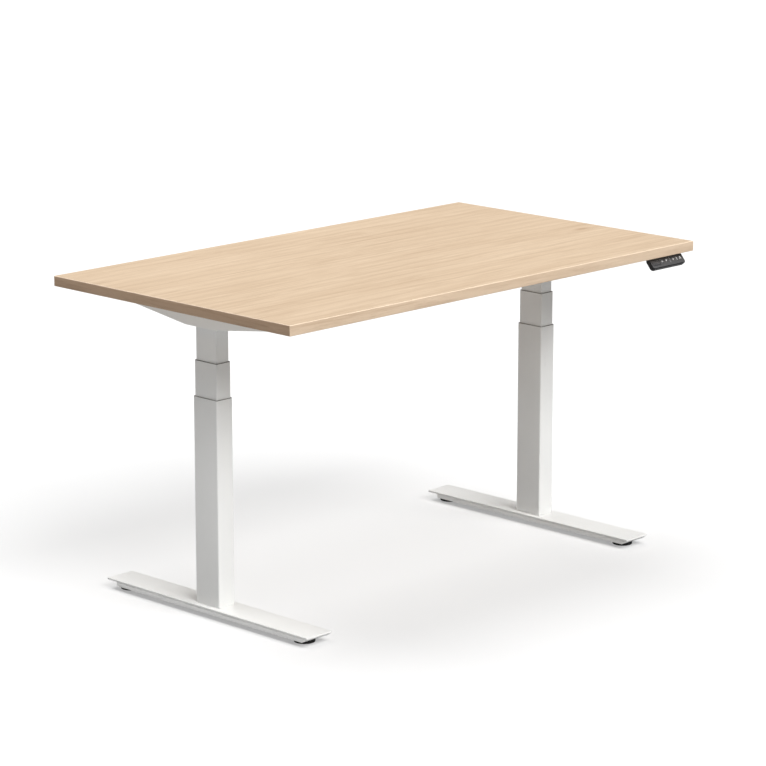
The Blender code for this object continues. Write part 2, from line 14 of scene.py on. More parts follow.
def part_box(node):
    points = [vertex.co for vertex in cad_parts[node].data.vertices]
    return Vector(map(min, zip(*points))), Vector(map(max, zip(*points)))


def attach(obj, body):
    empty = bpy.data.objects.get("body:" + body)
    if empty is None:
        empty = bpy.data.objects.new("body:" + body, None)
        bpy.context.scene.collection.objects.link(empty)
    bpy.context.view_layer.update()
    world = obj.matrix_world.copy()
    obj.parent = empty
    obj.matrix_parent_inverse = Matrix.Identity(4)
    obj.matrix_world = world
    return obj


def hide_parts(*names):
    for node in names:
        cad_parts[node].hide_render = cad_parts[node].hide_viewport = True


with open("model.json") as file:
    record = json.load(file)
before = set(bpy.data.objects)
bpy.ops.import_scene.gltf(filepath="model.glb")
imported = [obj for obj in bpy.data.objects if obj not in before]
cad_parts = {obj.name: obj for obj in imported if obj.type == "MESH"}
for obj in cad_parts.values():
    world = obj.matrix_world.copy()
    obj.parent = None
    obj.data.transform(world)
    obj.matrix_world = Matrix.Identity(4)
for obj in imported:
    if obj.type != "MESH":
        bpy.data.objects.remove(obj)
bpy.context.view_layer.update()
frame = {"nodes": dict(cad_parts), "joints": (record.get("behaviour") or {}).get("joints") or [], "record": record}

SIDES = (("left", -1), ("right", 1))
ENDS = (("front", -1), ("rear", 1))

# Camera: where it stands, which way it looks in radians, and its lens and sensor in mm
CAMERA_PLACE = (-5.424, -5.292, 2.245)
CAMERA_YAW = 0.79783
CAMERA_PITCH = 0.23088
CAMERA_LENS = 149.5
CAMERA_SENSOR = 36.0
CAMERA_REACH = 200.0

# Stage
FLOOR_RADIUS = 40.0
FLOOR_DROP = 0.0002
FLOOR_GLOW = 0.345
WALL_LIGHT = 0.06
BRIGHTEST_WALL = (0.42, -0.80, 0.43)

# Shared shape values: seams, walls and roundings
RIGHT_ANGLE = math.radians(90)
CORNERS = ((1, 1), (-1, 1), (-1, -1), (1, -1))
DOWN = (0, 0, -1)
GLUE_LINE = 0.00004
BOARD_EDGE = 0.00015
BAND_ROUNDING = 0.0018
TUBE_RADIUS = 0.0035
TUBE_WALL = 0.0015
LIP_ROUNDING = 0.0004
COLLAR_HEIGHT = 0.0013
PLATE_ROUNDING = 0.0006
SHEET_EDGE = 0.0005
TOUCHING = 1e-6


# Materials


class Graph:
    """The nodes of one material, added and wired in short calls."""

    def __init__(self, name):
        self.material = bpy.data.materials.new(name)
        self.material.use_nodes = True
        self.tree = self.material.node_tree
        self.shader = self.tree.nodes["Principled BSDF"]
        self.place = self.tree.nodes.new("ShaderNodeTexCoord").outputs["Object"]

    def feed(self, socket, value):
        """Links a socket to an output, or sets it to a number, a colour or a vector."""
        if isinstance(value, bpy.types.NodeSocket):
            self.tree.links.new(value, socket)
        else:
            socket.default_value = value

    def node(self, kind, inputs, **settings):
        """A new node with its settings, and its inputs fed by name or by number."""
        made = self.tree.nodes.new(f"ShaderNode{kind}")
        for name, value in settings.items():
            setattr(made, name, value)
        for name, value in inputs.items():
            self.feed(made.inputs[name], value)
        return made

    def stretched(self, scale, turn=(0.0, 0.0, 0.0), source=None):
        """Coordinates multiplied by one number, or by a number along each axis."""
        if isinstance(scale, float):
            scale = (scale, scale, scale)
        inputs = {"Vector": source or self.place, "Scale": scale, "Rotation": turn}
        return self.node("Mapping", inputs).outputs["Vector"]

    def noise(self, scale, detail=2.0, roughness=0.5, distortion=0.0, source=None):
        inputs = {"Vector": self.stretched(scale, source=source), "Scale": 1.0}
        inputs |= {"Detail": detail, "Roughness": roughness, "Distortion": distortion}
        return self.node("TexNoise", inputs).outputs["Fac"]

    def cells(self, scale, feature="F1", source=None):
        inputs = {"Vector": self.stretched(scale, source=source), "Scale": 1.0}
        return self.node("TexVoronoi", inputs, feature=feature).outputs["Distance"]

    def rings(self, scale, distortion, detail, source):
        """Dark and light bands that run along X and wander."""
        inputs = {"Vector": self.stretched(scale, source=source), "Scale": 1.0}
        inputs |= {"Distortion": distortion, "Detail": detail, "Detail Scale": 1.2}
        wave = self.node("TexWave", inputs, wave_type="BANDS", bands_direction="Y")
        return wave.outputs["Fac"]

    def between(self, value, low, high, to_low=0.0, to_high=1.0):
        """Maps a range of values to another, clamped at its ends."""
        inputs = {"Value": value, "From Min": low, "From Max": high}
        inputs |= {"To Min": to_low, "To Max": to_high}
        return self.node("MapRange", inputs).outputs["Result"]

    def math(self, operation, first, second):
        made = self.node("Math", {0: first, 1: second}, operation=operation)
        return made.outputs["Value"]

    def mix(self, factor, first, second):
        """The first colour where the factor is 0, and the second where it is 1."""
        made = self.node("Mix", {"Factor": factor}, data_type="RGBA")
        for socket, colour in (("A", first), ("B", second)):
            if not isinstance(colour, bpy.types.NodeSocket):
                colour = (*colour, 1.0)
            target = [s for s in made.inputs if s.name == socket and s.type == "RGBA"][0]
            self.feed(target, colour)
        return [s for s in made.outputs if s.type == "RGBA"][0]

    def bump(self, height, distance, strength):
        inputs = {"Height": height, "Distance": distance, "Strength": strength}
        return self.node("Bump", inputs).outputs["Normal"]

    def finish(self, colour, roughness, normal=None, **constants):
        """Wires the shader; the constants are set straight on its sockets."""
        self.feed(self.shader.inputs["Base Color"], colour)
        self.feed(self.shader.inputs["Roughness"], roughness)
        if normal is not None:
            self.feed(self.shader.inputs["Normal"], normal)
        for name, number in constants.items():
            self.shader.inputs[name.replace("_", " ")].default_value = number
        return self.material


# Colour of the painted highlight on the rounded rims of the edge bands, where they face up
HIGHLIGHT_RIM_TONE = (0.86, 0.71, 0.55)


def oak(name, tone, grain_turn=0.0, painted_highlight_rim=False):
    """Matt oak: soft growth bands, broken fine streaks, open pores and a few small knots.

    The grain runs along X, or along Y when it is turned by a right angle. The tone
    multiplies the colour, channel by channel. A painted highlight makes the rim paler where it faces up.
    """
    g = Graph(name)
    base = g.stretched(1.0, (0.0, 0.0, grain_turn))
    drift = g.noise((0.8, 3.0, 3.0), source=base)
    bend = g.node("CombineXYZ", {"Y": g.between(drift, 0.3, 0.7, -0.010, 0.010)})
    wander = g.node("VectorMath", {0: base, 1: bend.outputs["Vector"]}, operation="ADD")
    along = wander.outputs["Vector"]

    def shade(colour):
        return [channel * factor for channel, factor in zip(colour, tone)]

    light = shade((0.760, 0.600, 0.440))
    pale = shade((0.690, 0.535, 0.384))
    mid = shade((0.622, 0.470, 0.328))
    deep = shade((0.440, 0.310, 0.200))
    knot_heart = shade((0.34, 0.20, 0.11))
    broad = g.noise((1.5, 9.0, 9.0), 4.0, 0.55, source=along)
    colour = g.mix(g.between(broad, 0.34, 0.66), mid, pale)
    growth = g.rings((0.55, 8.0, 8.0), 7.0, 3.0, along)
    colour = g.mix(g.between(growth, 0.60, 1.0, 0.0, 0.20), colour, deep)
    streak = g.noise((4.2, 130.0, 130.0), 7.0, 0.66, source=along)
    patch = g.between(g.noise((3.0, 12.0, 12.0), source=base), 0.38, 0.62, 0.35, 1.0)
    dark_streak = g.math("MULTIPLY", g.between(streak, 0.47, 0.70, 0.0, 0.66), patch)
    colour = g.mix(dark_streak, colour, deep)
    shine = g.noise((6.0, 80.0, 80.0), 5.0, 0.6, 0.2, along)
    colour = g.mix(g.between(shine, 0.52, 0.70, 0.0, 0.60), colour, light)
    pores = g.between(g.noise((26.0, 900.0, 900.0), source=along), 0.60, 0.70)
    colour = g.mix(g.math("MULTIPLY", pores, 0.42), colour, deep)
    knot = g.between(g.cells((3.4, 9.5, 9.5), source=along), 0.03, 0.13, 1.0, 0.0)
    rare = g.noise((0.9, 2.1, 2.1), 0.0, source=base)
    knots = g.math("MULTIPLY", knot, g.between(rare, 0.46, 0.50))
    colour = g.mix(g.math("MULTIPLY", knots, 0.8), colour, knot_heart)
    # Painted highlight: the rim is made paler where its surface faces up
    if painted_highlight_rim:
        normal = g.node("NewGeometry", {}).outputs["Normal"]
        upward = g.node("SeparateXYZ", {0: normal}).outputs["Z"]
        colour = g.mix(g.between(upward, 0.1, 0.4, 0.0, 0.60), colour, HIGHLIGHT_RIM_TONE)

    relief = g.math("ADD", g.math("MULTIPLY", pores, -0.7), g.math("MULTIPLY", streak, 0.6))
    roughness = g.between(streak, 0.3, 0.7, 0.50, 0.62)
    return g.finish(colour, roughness, g.bump(relief, 0.00012, 0.6), Specular_IOR_Level=0.35)


def scaled(base, factor):
    """A colour made lighter or darker."""
    return [channel * factor for channel in base]


def powder_coat(name, base):
    """Sprayed and baked coat: fine orange peel, faint clouds, and light scuffs."""
    g = Graph(name)
    cloud = g.noise(5.0, 4.0)
    colour = g.mix(g.between(cloud, 0.35, 0.65), base, scaled(base, 0.955))
    marks = g.between(g.noise((60.0, 60.0, 14.0), 6.0, 0.7), 0.66, 0.74)
    colour = g.mix(g.math("MULTIPLY", marks, 0.35), colour, scaled(base, 0.84))
    peel = g.noise(1400.0, 1.0)
    waves = g.noise(260.0)
    relief = g.math("ADD", peel, g.math("MULTIPLY", waves, 1.4))
    roughness = g.between(g.math("ADD", waves, marks), 0.3, 1.4, 0.40, 0.60)
    return g.finish(colour, roughness, g.bump(relief, 0.00006, 0.55), Specular_IOR_Level=0.45)


def moulded_plastic(name, base, low=0.40, high=0.56, texture=0.00004, specular=0.5):
    """Spark-eroded mould texture with slight sheen changes."""
    g = Graph(name)
    grain = g.noise(2300.0, 2.0, 0.6)
    cloud = g.noise(18.0, 3.0)
    lighter = [min(1.0, channel * 1.25 + 0.004) for channel in base]
    colour = g.mix(g.between(cloud, 0.3, 0.7), base, lighter)
    colour = g.mix(g.between(grain, 0.55, 0.8, 0.0, 0.25), colour, lighter)
    roughness = g.between(cloud, 0.3, 0.7, low, high)
    return g.finish(colour, roughness, g.bump(grain, texture, 0.7), Specular_IOR_Level=specular)


def rubber(name, base):
    """Moulded rubber, dusty where it is rough."""
    g = Graph(name)
    dust = g.noise(90.0, 6.0, 0.65)
    grain = g.noise(1500.0)
    dusty = [channel + 0.030 for channel in base]
    colour = g.mix(g.between(dust, 0.50, 0.75), base, dusty)
    roughness = g.between(dust, 0.3, 0.7, 0.62, 0.86)
    return g.finish(colour, roughness, g.bump(grain, 0.00006, 0.6), Specular_IOR_Level=0.35)


def plated_steel(name, base):
    """Zinc plate: soft spangle, fine drawing lines and some dulled patches."""
    g = Graph(name)
    spangle = g.cells(260.0)
    lines = g.noise((1200.0, 1200.0, 40.0))
    dull = g.noise(30.0, 5.0, 0.6)
    darker = scaled(base, 0.72)
    colour = g.mix(g.between(dull, 0.40, 0.70, 0.0, 0.8), base, darker)
    colour = g.mix(g.between(spangle, 0.2, 0.7, 0.0, 0.16), colour, darker)
    worn = g.math("ADD", dull, g.math("MULTIPLY", lines, 0.3))
    roughness = g.between(worn, 0.4, 0.9, 0.26, 0.46)
    return g.finish(colour, roughness, g.bump(lines, 0.00002, 0.5), Metallic=1.0)


def cast_aluminium(name, base):
    """Die cast skin: grainy, slightly mottled, with flow marks."""
    g = Graph(name)
    skin = g.noise(900.0, 4.0, 0.65)
    flow = g.noise((24.0, 60.0, 24.0), 4.0, 0.6, 0.8)
    colour = g.mix(g.between(flow, 0.35, 0.68), base, scaled(base, 0.78))
    roughness = g.between(flow, 0.3, 0.7, 0.42, 0.60)
    return g.finish(colour, roughness, g.bump(skin, 0.00008, 0.7), Metallic=1.0)


def smoked_window(name, base):
    """Glossy dark window with faint wiping haze."""
    g = Graph(name)
    haze = g.noise((35.0, 120.0, 35.0), 5.0, 0.6)
    lighter = [channel + 0.012 for channel in base]
    colour = g.mix(g.between(haze, 0.4, 0.8), base, lighter)
    roughness = g.between(haze, 0.3, 0.8, 0.06, 0.20)
    relief = g.bump(g.noise(60.0, 1.0), 0.00002, 0.3)
    return g.finish(colour, roughness, relief, Coat_Weight=0.6, Coat_Roughness=0.05)


def solder_mask(name, base):
    """Green lacquer over straight copper tracks that stand a little proud."""
    g = Graph(name)
    tracks = g.cells((160.0, 420.0, 160.0), "DISTANCE_TO_EDGE")
    copper = g.between(tracks, 0.03, 0.10, 1.0, 0.0)
    colour = g.mix(copper, base, scaled(base, 1.7))
    roughness = g.between(g.noise(60.0, 3.0), 0.3, 0.7, 0.28, 0.45)
    return g.finish(colour, roughness, g.bump(copper, 0.00004, 0.6), Coat_Weight=0.3)


def printed_white(name, base):
    """Screen printed mark, very slightly uneven."""
    g = Graph(name)
    uneven = g.noise(2500.0, 3.0)
    colour = g.mix(g.between(uneven, 0.4, 0.7), base, scaled(base, 0.88))
    return g.finish(colour, g.between(uneven, 0.3, 0.7, 0.45, 0.6), g.bump(uneven, 0.00001, 0.4))


LOOKS = {
    "oak_face": oak("oak_face_laminate", (0.91, 0.91, 0.905)),
    # The edge bands carry a painted highlight on their upward-facing rims
    "oak_edge": oak("oak_edge_band", (0.93, 0.925, 0.93), 0.0, True),
    # The left and right bands' darker tone is painted shade: the same oak as the front and rear bands, darkened
    # for the shaded left end
    "oak_edge_across_painted_shade": oak("oak_edge_band_across_painted_shade", (0.64, 0.57, 0.53), RIGHT_ANGLE, True),
    "white_coat": powder_coat("white_powder_coat", (0.86, 0.86, 0.845)),
    "steel": plated_steel("zinc_plated_steel", (0.62, 0.62, 0.63)),
    "aluminium": cast_aluminium("die_cast_aluminium", (0.70, 0.71, 0.72)),
    "black_plastic": moulded_plastic("black_moulded_plastic", (0.010, 0.010, 0.011), specular=0.28),
    "grey_plastic": moulded_plastic("grey_satin_plastic", (0.078, 0.077, 0.078), 0.34, 0.46, 0.00002),
    # Partly painted shade: a real glide collar, made grey to stand in for the shadow line at each tube joint
    "glide_collar_painted_shade": moulded_plastic("grey_glide_collar_painted_shade", (0.24, 0.235, 0.23)),
    "white_plastic": moulded_plastic("white_moulded_plastic", (0.80, 0.80, 0.78)),
    "display_window": smoked_window("smoked_display_window", (0.058, 0.057, 0.059)),
    "circuit_board": solder_mask("circuit_board_mask", (0.030, 0.160, 0.080)),
    "pad_rubber": rubber("pad_rubber_black", (0.018, 0.018, 0.018)),
    "print": printed_white("white_key_print", (0.86, 0.86, 0.86)),
    "dim_print": printed_white("unlit_digit_print", (0.150, 0.150, 0.155)),
}


def dress_cad_nodes():
    """Gives each carried-over CAD node the full material of its slot."""
    for part in frame["record"]["subparts"]:
        mesh = frame["nodes"][part["node"]].data
        mesh.materials.clear()
        mesh.materials.append(LOOKS[part["material_slot"]])


# Shapes


def rounded_rectangle(width, depth, radius, steps=8):
    """Corner points of a rectangle with round corners, counter-clockwise."""
    points = []
    for corner, (sx, sy) in enumerate(CORNERS):
        cx = sx * (width / 2 - radius)
        cy = sy * (depth / 2 - radius)
        for step in range(steps + 1):
            angle = RIGHT_ANGLE * (corner + step / steps)
            points.append((cx + radius * math.cos(angle), cy + radius * math.sin(angle)))
    return points


def bridge(shape, first, second):
    count = len(first)
    for n in range(count):
        m = (n + 1) % count
        shape.faces.new((first[n], first[m], second[m], second[n]))


def stacked(size, radius, layers, closed=False, steps=8):
    """Rounded rectangles on top of each other: layers are (inset, height) pairs.

    Closed layers run up the outside and down the inside of a tube. Open ones are
    capped at both ends.
    """
    shape = bmesh.new()
    rings = []
    for inset, height in layers:
        corner = max(radius - inset, 0.0002)
        outline = rounded_rectangle(size[0] - 2 * inset, size[1] - 2 * inset, corner, steps)
        rings.append([shape.verts.new((x, y, height)) for x, y in outline])
    for first, second in zip(rings, rings[1:]):
        bridge(shape, first, second)
    if closed:
        bridge(shape, rings[-1], rings[0])
    else:
        shape.faces.new(rings[0])
        shape.faces.new(rings[-1])
    return shape


def quarter(start, end, steps=3):
    """Points of a quarter round from one (inset, height) to another, bulging outwards."""
    points = []
    for n in range(steps + 1):
        angle = RIGHT_ANGLE * n / steps
        inward, upward = 1 - math.cos(angle), math.sin(angle)
        if end[0] <= start[0]:
            inward, upward = math.sin(angle), 1 - math.cos(angle)
        inset = start[0] + (end[0] - start[0]) * inward
        points.append((inset, start[1] + (end[1] - start[1]) * upward))
    return points


def rounded_slab(size, radius, low, high, edge, steps=8):
    """A plate whose upper and lower outlines are rounded over."""
    layers = quarter((edge, low), (0.0, low + edge)) + quarter((0.0, high - edge), (edge, high))
    return stacked(size, radius, layers, steps=steps)


def circular(angle):
    return 1.0


def hexagonal(angle):
    """Distance to the side of a hexagon whose flats are 1 from the centre."""
    sector = math.radians(60)
    return 1.0 / math.cos((angle % sector) - sector / 2)


def spun(profile, steps=32):
    """Rings of (radius, height) or (radius, height, outline); radius 0 closes an end."""
    shape = bmesh.new()
    rings = []
    for radius, height, *own in profile:
        form = own[0] if own else circular
        if radius == 0:
            rings.append([shape.verts.new((0.0, 0.0, height))])
            continue
        ring = []
        for n in range(steps):
            angle = 2 * math.pi * n / steps
            reach = radius * form(angle)
            ring.append(shape.verts.new((reach * math.cos(angle), reach * math.sin(angle), height)))
        rings.append(ring)
    pairs = list(zip(rings, rings[1:]))
    if len(rings[0]) > 1:
        pairs.append((rings[-1], rings[0]))
    for first, second in pairs:
        if len(first) == 1 or len(second) == 1:
            tip, around = (first[0], second) if len(first) == 1 else (second[0], first)
            for n in range(steps):
                shape.faces.new((tip, around[n], around[(n + 1) % steps]))
        else:
            bridge(shape, first, second)
    return shape


def brick(low, high):
    """A plain box, as the blank for a bevel or as a cutter."""
    shape = bmesh.new()
    bmesh.ops.create_cube(shape, size=1.0)
    low, high = Vector(low), Vector(high)
    for vertex in shape.verts:
        vertex.co = [low[n] + (vertex.co[n] + 0.5) * (high[n] - low[n]) for n in range(3)]
    return shape


def bevelled(shape, width, segments=3, chosen=None):
    """Rounds the edges of a shape that the test chooses, or all of its sharp ones."""
    bmesh.ops.recalc_face_normals(shape, faces=shape.faces)
    least = math.radians(30)
    paired = [edge for edge in shape.edges if len(edge.link_faces) == 2]
    sharp = [edge for edge in paired if edge.calc_face_angle() > least]
    edges = [edge for edge in sharp if chosen is None or chosen(edge)]
    settings = {"offset": width, "segments": segments, "profile": 0.5, "clamp_overlap": True}
    bmesh.ops.bevel(shape, geom=edges, affect="EDGES", **settings)
    return shape


def mesh_from(name, shape):
    """A mesh from a bmesh, with its faces turned outwards. The bmesh is used up."""
    bmesh.ops.recalc_face_normals(shape, faces=shape.faces)
    mesh = bpy.data.meshes.new(name)
    shape.to_mesh(mesh)
    shape.free()
    return mesh


def placed(name, data):
    """A new object in the scene."""
    made = bpy.data.objects.new(name, data)
    bpy.context.scene.collection.objects.link(made)
    return made


def carved(shape, cutters):
    """The shape with each cutter taken out of it, as a new bmesh."""
    target = placed("carving", mesh_from("carving", shape))
    helpers = [placed("cutter", mesh_from("cutter", cutter)) for cutter in cutters]
    for helper in helpers:
        step = target.modifiers.new("cut", "BOOLEAN")
        step.operation = "DIFFERENCE"
        step.solver = "EXACT"
        step.object = helper
    result = bmesh.new()
    result.from_object(target, bpy.context.evaluated_depsgraph_get())
    for made in (target, *helpers):
        mesh = made.data
        bpy.data.objects.remove(made)
        bpy.data.meshes.remove(mesh)
    return result


def blank_of(node):
    """The CAD node's own solid as a bmesh, with its flat faces whole again."""
    shape = bmesh.new()
    shape.from_mesh(frame["nodes"][node].data)
    bmesh.ops.remove_doubles(shape, verts=shape.verts, dist=0.00001)
    bmesh.ops.dissolve_limit(
        shape, angle_limit=math.radians(0.5), verts=shape.verts, edges=shape.edges
    )
    return shape


def merged(shapes):
    """Several shapes in one bmesh, as separate shells of one piece."""
    whole = bmesh.new()
    for shape in shapes:
        mesh = mesh_from("merge", shape)
        whole.from_mesh(mesh)
        bpy.data.meshes.remove(mesh)
    return whole


def moved(shape, place):
    """The shape put in place by a matrix or by an offset."""
    matrix = place if isinstance(place, Matrix) else Matrix.Translation(place)
    bmesh.ops.transform(shape, matrix=matrix, verts=shape.verts)
    return shape


def facing(direction, place):
    """A matrix that turns +Z to a direction and moves the origin to a place."""
    turn = Vector(direction).to_track_quat("Z", "Y").to_matrix().to_4x4()
    return Matrix.Translation(place) @ turn


def piece(name, shape, look, body, stands_for=(), sharp=32.0):
    """An object from a bmesh in the frame's coordinates, riding on a CAD body."""
    mesh = mesh_from(name, shape)
    mesh.shade_smooth()
    mesh.set_sharp_from_angle(angle=math.radians(sharp))
    mesh.materials.append(LOOKS[look])
    made = placed(name, mesh)
    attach(made, body)
    if stands_for:
        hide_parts(*stands_for)
    return made


def drill(radius, low, high):
    """A cylinder to cut a round hole with."""
    return spun([(0.0, low), (radius, low), (radius, high), (0.0, high)])


def plan(node):
    """The corners and the middle of a CAD node's box, and its size along X and Y."""
    low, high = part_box(node)
    return low, high, (low + high) / 2, (high.x - low.x, high.y - low.y)


def middle_of(node):
    return plan(node)[2]


# Fasteners


def button_head(radius, height, socket):
    """Domed head with a hexagon socket, its bearing face at height 0."""
    profile = [(0.0, height * 0.45), (socket, height * 0.45, hexagonal)]
    profile += [(socket, height * 0.97, hexagonal), (socket * 1.25, height)]
    profile += [(radius * 0.72, height * 0.90), (radius * 0.92, height * 0.58)]
    profile += [(radius, height * 0.25), (radius, 0.0002), (radius * 0.96, 0.0), (0.0, 0.0)]
    return spun(profile)


def washer_screw(radius, height):
    """Pan head on its own washer, with a hexagon socket."""
    washer = radius * 1.35
    socket = radius * 0.40
    profile = [(0.0, height * 0.45), (socket, height * 0.45, hexagonal)]
    profile += [(socket, height, hexagonal), (radius * 0.80, height), (radius, height * 0.70)]
    profile += [(radius, 0.0010), (washer * 0.97, 0.0010), (washer, 0.0007), (washer, 0.0)]
    return spun([*profile, (0.0, 0.0)])


def hex_nut(flat, bore, low, high):
    """Hexagon nut with chamfered corners and an open bore."""
    edge = (high - low) * 0.12
    profile = [(bore, low), (flat * 0.94, low), (flat, low + edge, hexagonal)]
    profile += [(flat, high - edge, hexagonal), (flat * 0.94, high), (bore, high)]
    return spun(profile, 36)


def threaded_rod(crest, root, pitch, low, high, steps=20):
    """A solid rod whose surface follows a trapezoidal thread."""
    shape = bmesh.new()
    rows = max(2, round((high - low) / pitch * 4))
    rings = []
    for row in range(rows + 1):
        height = low + (high - low) * row / rows
        ring = []
        for n in range(steps):
            angle = 2 * math.pi * n / steps
            phase = (height / pitch - n / steps) % 1.0
            reach = crest if phase < 0.5 else root
            if row in (0, rows):
                reach = root
            ring.append(shape.verts.new((reach * math.cos(angle), reach * math.sin(angle), height)))
        rings.append(ring)
    for first, second in zip(rings, rings[1:]):
        bridge(shape, first, second)
    shape.faces.new(rings[0])
    shape.faces.new(rings[-1])
    return shape


def fastened(name, head, direction, spot, body="desk_top"):
    """A steel screw or bolt whose head faces a direction, with its bearing face at a spot."""
    piece(name, moved(head, facing(direction, spot)), "steel", body)


def corner_screws(name, node, inset, head):
    """Four screws near the corners of the lower face of a node's box; head says their size."""
    low, _, centre, size = plan(node)
    for number, (sx, sy) in enumerate(CORNERS):
        across, along = sx * (size[0] / 2 - inset), sy * (size[1] / 2 - inset)
        spot = (centre.x + across, centre.y + along, low.z)
        fastened(f"{name}_{number + 1}", button_head(*head), DOWN, spot)


# Worktop


BANDS = (
    ("front", 1, -1, "oak_edge"),
    ("rear", 1, 1, "oak_edge"),
    # The left and right bands use the copy of the edge oak darkened by painted shade
    ("left", 0, -1, "oak_edge_across_painted_shade"),
    ("right", 0, 1, "oak_edge_across_painted_shade"),
)


def worktop():
    """Board up to its four glued bands; the bands' outer edges are rounded over."""
    board_low, board_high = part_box("worktop_board")
    inside = {}
    for name, axis, sign, _ in BANDS:
        low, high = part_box(f"edge_band_{name}")
        inside[name] = (high if sign < 0 else low)[axis]
    low = (inside["left"] + GLUE_LINE, inside["front"] + GLUE_LINE, board_low.z)
    high = (inside["right"] - GLUE_LINE, inside["rear"] - GLUE_LINE, board_high.z)
    board = bevelled(brick(low, high), BOARD_EDGE, 1)
    piece("worktop_board_laminate", board, "oak_face", "desk_top", ["worktop_board"])
    for name, axis, sign, look in BANDS:
        low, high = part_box(f"edge_band_{name}")
        full_length = axis == 1
        if not full_length:
            low.y = inside["front"] + GLUE_LINE
            high.y = inside["rear"] - GLUE_LINE
        outer = (low if sign < 0 else high)[axis]

        def on_outer(vertex, axis=axis, outer=outer):
            return abs(vertex.co[axis] - outer) < TOUCHING

        def chosen(edge, full_length=full_length, on_outer=on_outer):
            outside = [on_outer(vertex) for vertex in edge.verts]
            upright = abs(edge.verts[0].co.z - edge.verts[1].co.z) > TOUCHING
            return any(outside) if full_length else all(outside) and not upright

        band = bevelled(brick(low, high), BAND_ROUNDING, 4, chosen)
        piece(f"edge_band_{name}_rounded", band, look, "desk_top", [f"edge_band_{name}"])


# Columns


def tube_layers(low, high, wall, lip):
    """Up the outside and down the inside of a tube, with both lips rounded."""
    outside = quarter((lip, low), (0.0, low + lip)) + quarter((0.0, high - lip), (lip, high))
    inside = [(wall - lip, high), (wall, high - lip), (wall, low + lip), (wall - lip, low)]
    return outside + inside


def column(side):
    """Three square tubes with grey guide collars, partly painted shade, at the mouths of the lower two."""
    rim = 0.00025
    rim_rounding = 0.0004
    liner = 0.0005
    seat_gap = 0.00003
    bodies = {"outer": "lower_legs", "middle": f"{side}_middle_stage", "inner": "desk_top"}
    centre = middle_of(f"{side}_outer_tube")
    axis = (centre.x, centre.y, 0.0)
    for stage, body in bodies.items():
        node = f"{side}_{stage}_tube"
        low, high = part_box(node)
        size = (high.x - low.x, high.y - low.y)
        top = high.z if stage == "inner" else high.z - COLLAR_HEIGHT
        layers = tube_layers(low.z, top, TUBE_WALL, LIP_ROUNDING)
        tube = moved(stacked(size, TUBE_RADIUS, layers, True), axis)
        piece(f"{node}_coated", tube, "white_coat", body, [node])
        if stage == "inner":
            continue
        glide = f"{side}_{stage}_glide"
        liner_low, liner_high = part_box(glide)
        play = (size[0] - (liner_high.x - liner_low.x)) / 2
        bore = play + liner
        seat = top + seat_gap
        layers = [
            (play, liner_low.z),
            (play, seat),
            (rim, seat),
            *quarter((rim, high.z - rim_rounding), (rim + rim_rounding, high.z)),
            (bore - 0.0001, high.z),
            (bore, high.z - 0.0003),
            (bore, liner_low.z),
        ]
        collar = moved(stacked(size, TUBE_RADIUS, layers, True), axis)
        # Painted shade: the grey collar rim also stands in for the shadow line at the joint
        piece(f"{glide}_collar", collar, "glide_collar_painted_shade", body, [glide])


def drive_line(side):
    """Flange and thread of the screw that stands fixed in a column."""
    flange_height = 0.004
    flange_reach = 0.007
    edge = 0.0005
    thread_depth = 0.0009
    pitch = 0.003
    node = f"{side}_lower_screw"
    low, high, centre, size = plan(node)
    head = size[0] / 2
    crest = head - flange_reach
    flange_top = low.z + flange_height
    profile = [(0.0, low.z), (head - edge, low.z), (head, low.z + edge)]
    profile += [(head, flange_top - edge), (head - edge, flange_top), (0.0, flange_top)]
    flange = spun(profile)
    thread = threaded_rod(crest, crest - thread_depth, pitch, flange_top - 0.001, high.z)
    screw = moved(merged([flange, thread]), (centre.x, centre.y, 0.0))
    piece(f"{node}_threaded", screw, "steel", "lower_legs", [node], 25.0)


# Feet


def channel_ring(shape, half, bottom, top, wall, at_y):
    """One cross-section of an upside-down channel, its outer bends rounded."""
    fillet = 0.0004
    turned = [(wall * math.sin(a), wall * math.cos(a)) for a in quarter_turns()]
    section = [(-half, bottom)]
    section += [(-half + wall - across, top - wall + up) for up, across in turned]
    section += [(half - wall + across, top - wall + up) for across, up in turned]
    section += [(half, bottom), (half - wall, bottom), (half - wall, top - wall - fillet)]
    section += [(half - wall - fillet, top - wall), (-half + wall + fillet, top - wall)]
    section += [(-half + wall, top - wall - fillet), (-half + wall, bottom)]
    return [shape.verts.new((x, at_y(z), z)) for x, z in section]


def quarter_turns(steps=4):
    return [RIGHT_ANGLE * n / steps for n in range(steps + 1)]


